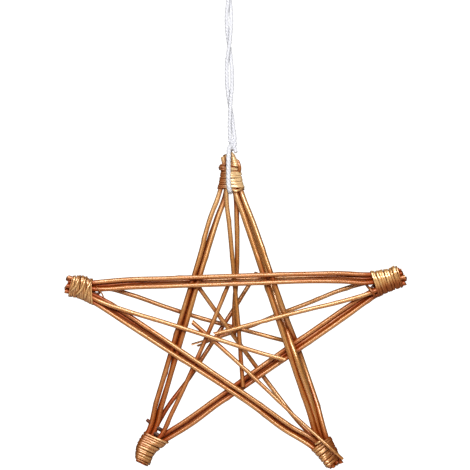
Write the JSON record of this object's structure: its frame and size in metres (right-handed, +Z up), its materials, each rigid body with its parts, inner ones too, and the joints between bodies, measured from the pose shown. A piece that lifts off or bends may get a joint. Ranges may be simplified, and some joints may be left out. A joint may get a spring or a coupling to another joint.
{
  "type": "star ornament",
  "caption": "Star laid up as a pentagram from gold-painted willow rods, its points bound with split willow, hung on a doubled twisted white cord",
  "frame": {"origin": "the inside of the cord's top bend, where the nail or hook bears; the star hangs below it", "axes": "X to the viewer's right across the star, Y from the star's face to its back (the face looks along -Y), Z up"},
  "size_m": [0.3024, 0.0351, 0.4416],
  "materials": {
    "crossbar_outer": "willow bark under satin copper-gold metallic paint",
    "crossbar_inner": "willow bark under satin copper-gold metallic paint",
    "crossbar_back": "willow bark under satin copper-gold metallic paint",
    "left_leg_outer": "willow bark under satin copper-gold metallic paint",
    "left_leg_inner": "willow bark under satin copper-gold metallic paint",
    "left_leg_back": "willow bark under satin copper-gold metallic paint",
    "right_leg_outer": "willow bark under satin copper-gold metallic paint",
    "right_leg_inner": "willow bark under satin copper-gold metallic paint",
    "right_leg_back": "willow bark under satin copper-gold metallic paint",
    "left_brace_outer": "willow bark under satin copper-gold metallic paint",
    "left_brace_inner": "willow bark under satin copper-gold metallic paint",
    "left_brace_back": "willow bark under satin copper-gold metallic paint",
    "right_brace_outer": "willow bark under satin copper-gold metallic paint",
    "right_brace_inner": "willow bark under satin copper-gold metallic paint",
    "right_brace_back": "willow bark under satin copper-gold metallic paint",
    "inner_top_1": "willow bark under satin copper-gold metallic paint",
    "inner_top_2": "willow bark under satin copper-gold metallic paint",
    "inner_right_1": "willow bark under satin copper-gold metallic paint",
    "inner_right_2": "willow bark under satin copper-gold metallic paint",
    "inner_lower_right_1": "willow bark under satin copper-gold metallic paint",
    "inner_lower_right_2": "willow bark under satin copper-gold metallic paint",
    "inner_lower_left_1": "willow bark under satin copper-gold metallic paint",
    "inner_lower_left_2": "willow bark under satin copper-gold metallic paint",
    "inner_left_1": "willow bark under satin copper-gold metallic paint",
    "inner_left_2": "willow bark under satin copper-gold metallic paint",
    "binding_top": "split willow skein under satin gold metallic paint",
    "binding_right": "split willow skein under satin gold metallic paint",
    "binding_lower_right": "split willow skein under satin gold metallic paint",
    "binding_lower_left": "split willow skein under satin gold metallic paint",
    "binding_left": "split willow skein under satin gold metallic paint",
    "cord_loop": "matt twisted cotton",
    "cord_knot": "matt twisted cotton",
    "cord_sling": "matt twisted cotton"
  },
  "bodies": {
    "root": {"crossbar_outer": "crossbar_outer", "crossbar_inner": "crossbar_inner", "crossbar_back": "crossbar_back", "left_leg_outer": "left_leg_outer", "left_leg_inner": "left_leg_inner", "left_leg_back": "left_leg_back", "right_leg_outer": "right_leg_outer", "right_leg_inner": "right_leg_inner", "right_leg_back": "right_leg_back", "left_brace_outer": "left_brace_outer", "left_brace_inner": "left_brace_inner", "left_brace_back": "left_brace_back", "right_brace_outer": "right_brace_outer", "right_brace_inner": "right_brace_inner", "right_brace_back": "right_brace_back", "inner_top_1": "inner_top_1", "inner_top_2": "inner_top_2", "inner_right_1": "inner_right_1", "inner_right_2": "inner_right_2", "inner_lower_right_1": "inner_lower_right_1", "inner_lower_right_2": "inner_lower_right_2", "inner_lower_left_1": "inner_lower_left_1", "inner_lower_left_2": "inner_lower_left_2", "inner_left_1": "inner_left_1", "inner_left_2": "inner_left_2", "binding_top": "binding_top", "binding_right": "binding_right", "binding_lower_right": "binding_lower_right", "binding_lower_left": "binding_lower_left", "binding_left": "binding_left", "cord_loop": "cord_loop", "cord_knot": "cord_knot", "cord_sling": "cord_sling"}
  },
  "joints": []
}
